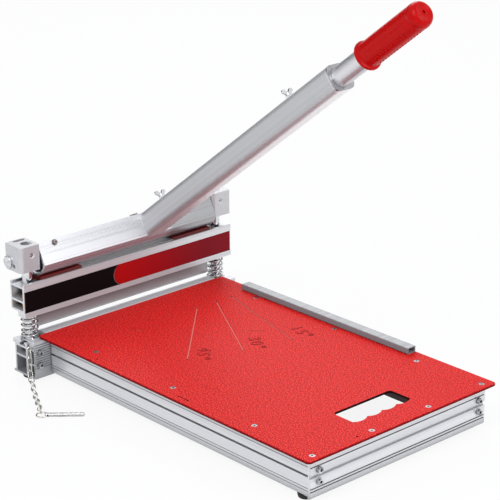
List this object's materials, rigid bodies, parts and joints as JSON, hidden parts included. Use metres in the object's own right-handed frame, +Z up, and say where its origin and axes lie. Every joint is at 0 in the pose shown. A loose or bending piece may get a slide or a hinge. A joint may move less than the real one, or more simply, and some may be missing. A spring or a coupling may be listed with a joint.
{
  "type": "laminate cutter",
  "caption": "Bench guillotine for laminate flooring: a long lever turns a cam that presses a blade beam down on two posts against a table with fence and angle grooves.",
  "frame": {"origin": "centre of the table's top face", "axes": "+X from the cutting head towards the carry end, +Y towards the fence side, +Z up out of the table"},
  "size_m": [0.613, 0.4761, 0.6135],
  "materials": {
    "table_paint": "bright red powder coat with a fine speckle",
    "frame_aluminium": "satin anodised extrusion",
    "bright_steel": "bright zinc-plated steel",
    "plain_steel": "brushed flat steel",
    "block_steel": "zinc-plated machined steel",
    "blade_steel": "ground tool steel with a darker bevel",
    "bronze_bush": "plain bronze bearing",
    "pad_plastic": "dark red moulded plastic",
    "label_black": "bare black panel, satin",
    "label_red": "bare red panel, satin",
    "grip_red": "glossy red moulded grip",
    "guide_plastic": "black moulded plastic",
    "liner_metal": "turned aluminium collar",
    "black_rubber": "black moulded rubber",
    "nickel": "nickel-plated wire"
  },
  "bodies": {
    "base": {"table_plate": "table_paint", "table_screws": "bright_steel", "side_rail_far": "frame_aluminium", "side_rail_near": "frame_aluminium", "end_plate": "frame_aluminium", "end_plate_screws": "bright_steel", "head_cross_rail": "frame_aluminium", "corner_screws": "bright_steel", "cross_screws": "bright_steel", "base_beam": "frame_aluminium", "post_near": "bright_steel", "post_far": "bright_steel", "post_nuts": "bright_steel", "anvil_strip": "frame_aluminium", "fence_tube": "frame_aluminium", "fence_screws": "bright_steel", "foot_screws": "bright_steel", "foot_head_near": "black_rubber", "foot_head_far": "black_rubber", "foot_front_near": "black_rubber", "foot_front_far": "black_rubber", "spring_near": "bright_steel", "spring_far": "bright_steel", "spring_seats": "bright_steel", "end_block_near": "block_steel", "end_block_far": "block_steel", "block_set_screws": "bright_steel", "pivot_axle": "bright_steel", "axle_nut": "bright_steel", "axle_washers": "bright_steel", "chain_anchor": "nickel", "chain_links": "nickel", "pin_ring": "nickel"},
    "blade_beam": {"upper_beam": "frame_aluminium", "beam_bush_near": "bronze_bush", "beam_bush_far": "bronze_bush", "label_panel_black": "label_black", "label_panel_red": "label_red", "cutting_blade": "blade_steel", "blade_clamp_bar": "plain_steel", "blade_screws": "bright_steel", "wear_pad_near": "pad_plastic", "wear_pad_far": "pad_plastic", "pad_spacer_bar": "plain_steel"},
    "lever": {"lever_body": "frame_aluminium", "lever_face_screws": "bright_steel", "handle_outer_tube": "frame_aluminium", "handle_stub": "frame_aluminium", "stub_bolts": "bright_steel", "mouth_liner": "liner_metal", "wing_nuts": "bright_steel"},
    "inner_handle": {"handle_inner_tube": "frame_aluminium", "tube_guide": "guide_plastic", "hand_grip": "grip_red"},
    "lower_screw": {"lower_wing_screw": "bright_steel"},
    "upper_screw": {"upper_wing_screw": "bright_steel"},
    "pin": {"locking_pin": "bright_steel"}
  },
  "joints": [
    {"name": "lever_hinge", "type": "hinge", "parent": "base", "child": "lever", "pos_m": [-0.3175, 0, 0.1114], "axis": [0, 1, 0], "range_deg": [-40, 15]},
    {"name": "beam_slide", "type": "slide", "parent": "base", "child": "blade_beam", "axis": [0, 0, -1], "range_m": [-0.0113, 0.0043], "stiffness_N_per_m": 12000, "springref_m": -0.0158, "deforming": ["spring_near", "spring_far"]},
    {"name": "handle_slide", "type": "slide", "parent": "lever", "child": "inner_handle", "axis": [0.7958, 0, 0.6056], "range_m": [-0.05, 0.12]},
    {"name": "lower_wing_turn", "type": "hinge", "parent": "lever", "child": "lower_screw", "pos_m": [-0.24974, 0.0437, 0.14982], "axis": [-0.6056, 0, 0.7958], "range_deg": [-360, 360]},
    {"name": "upper_wing_turn", "type": "hinge", "parent": "lever", "child": "upper_screw", "pos_m": [0.02679, 0.0437, 0.36026], "axis": [-0.6056, 0, 0.7958], "range_deg": [-360, 360]},
    {"name": "pin_swivel", "type": "hinge", "parent": "base", "child": "pin", "pos_m": [-0.17403, -0.25761, -0.0654], "axis": [0, 0, 1], "range_deg": [-60, 60]}
  ],
  "couplings": [
    {"joint": "beam_slide", "follows": "lever_hinge", "m_per_rad": 0.016043}
  ]
}
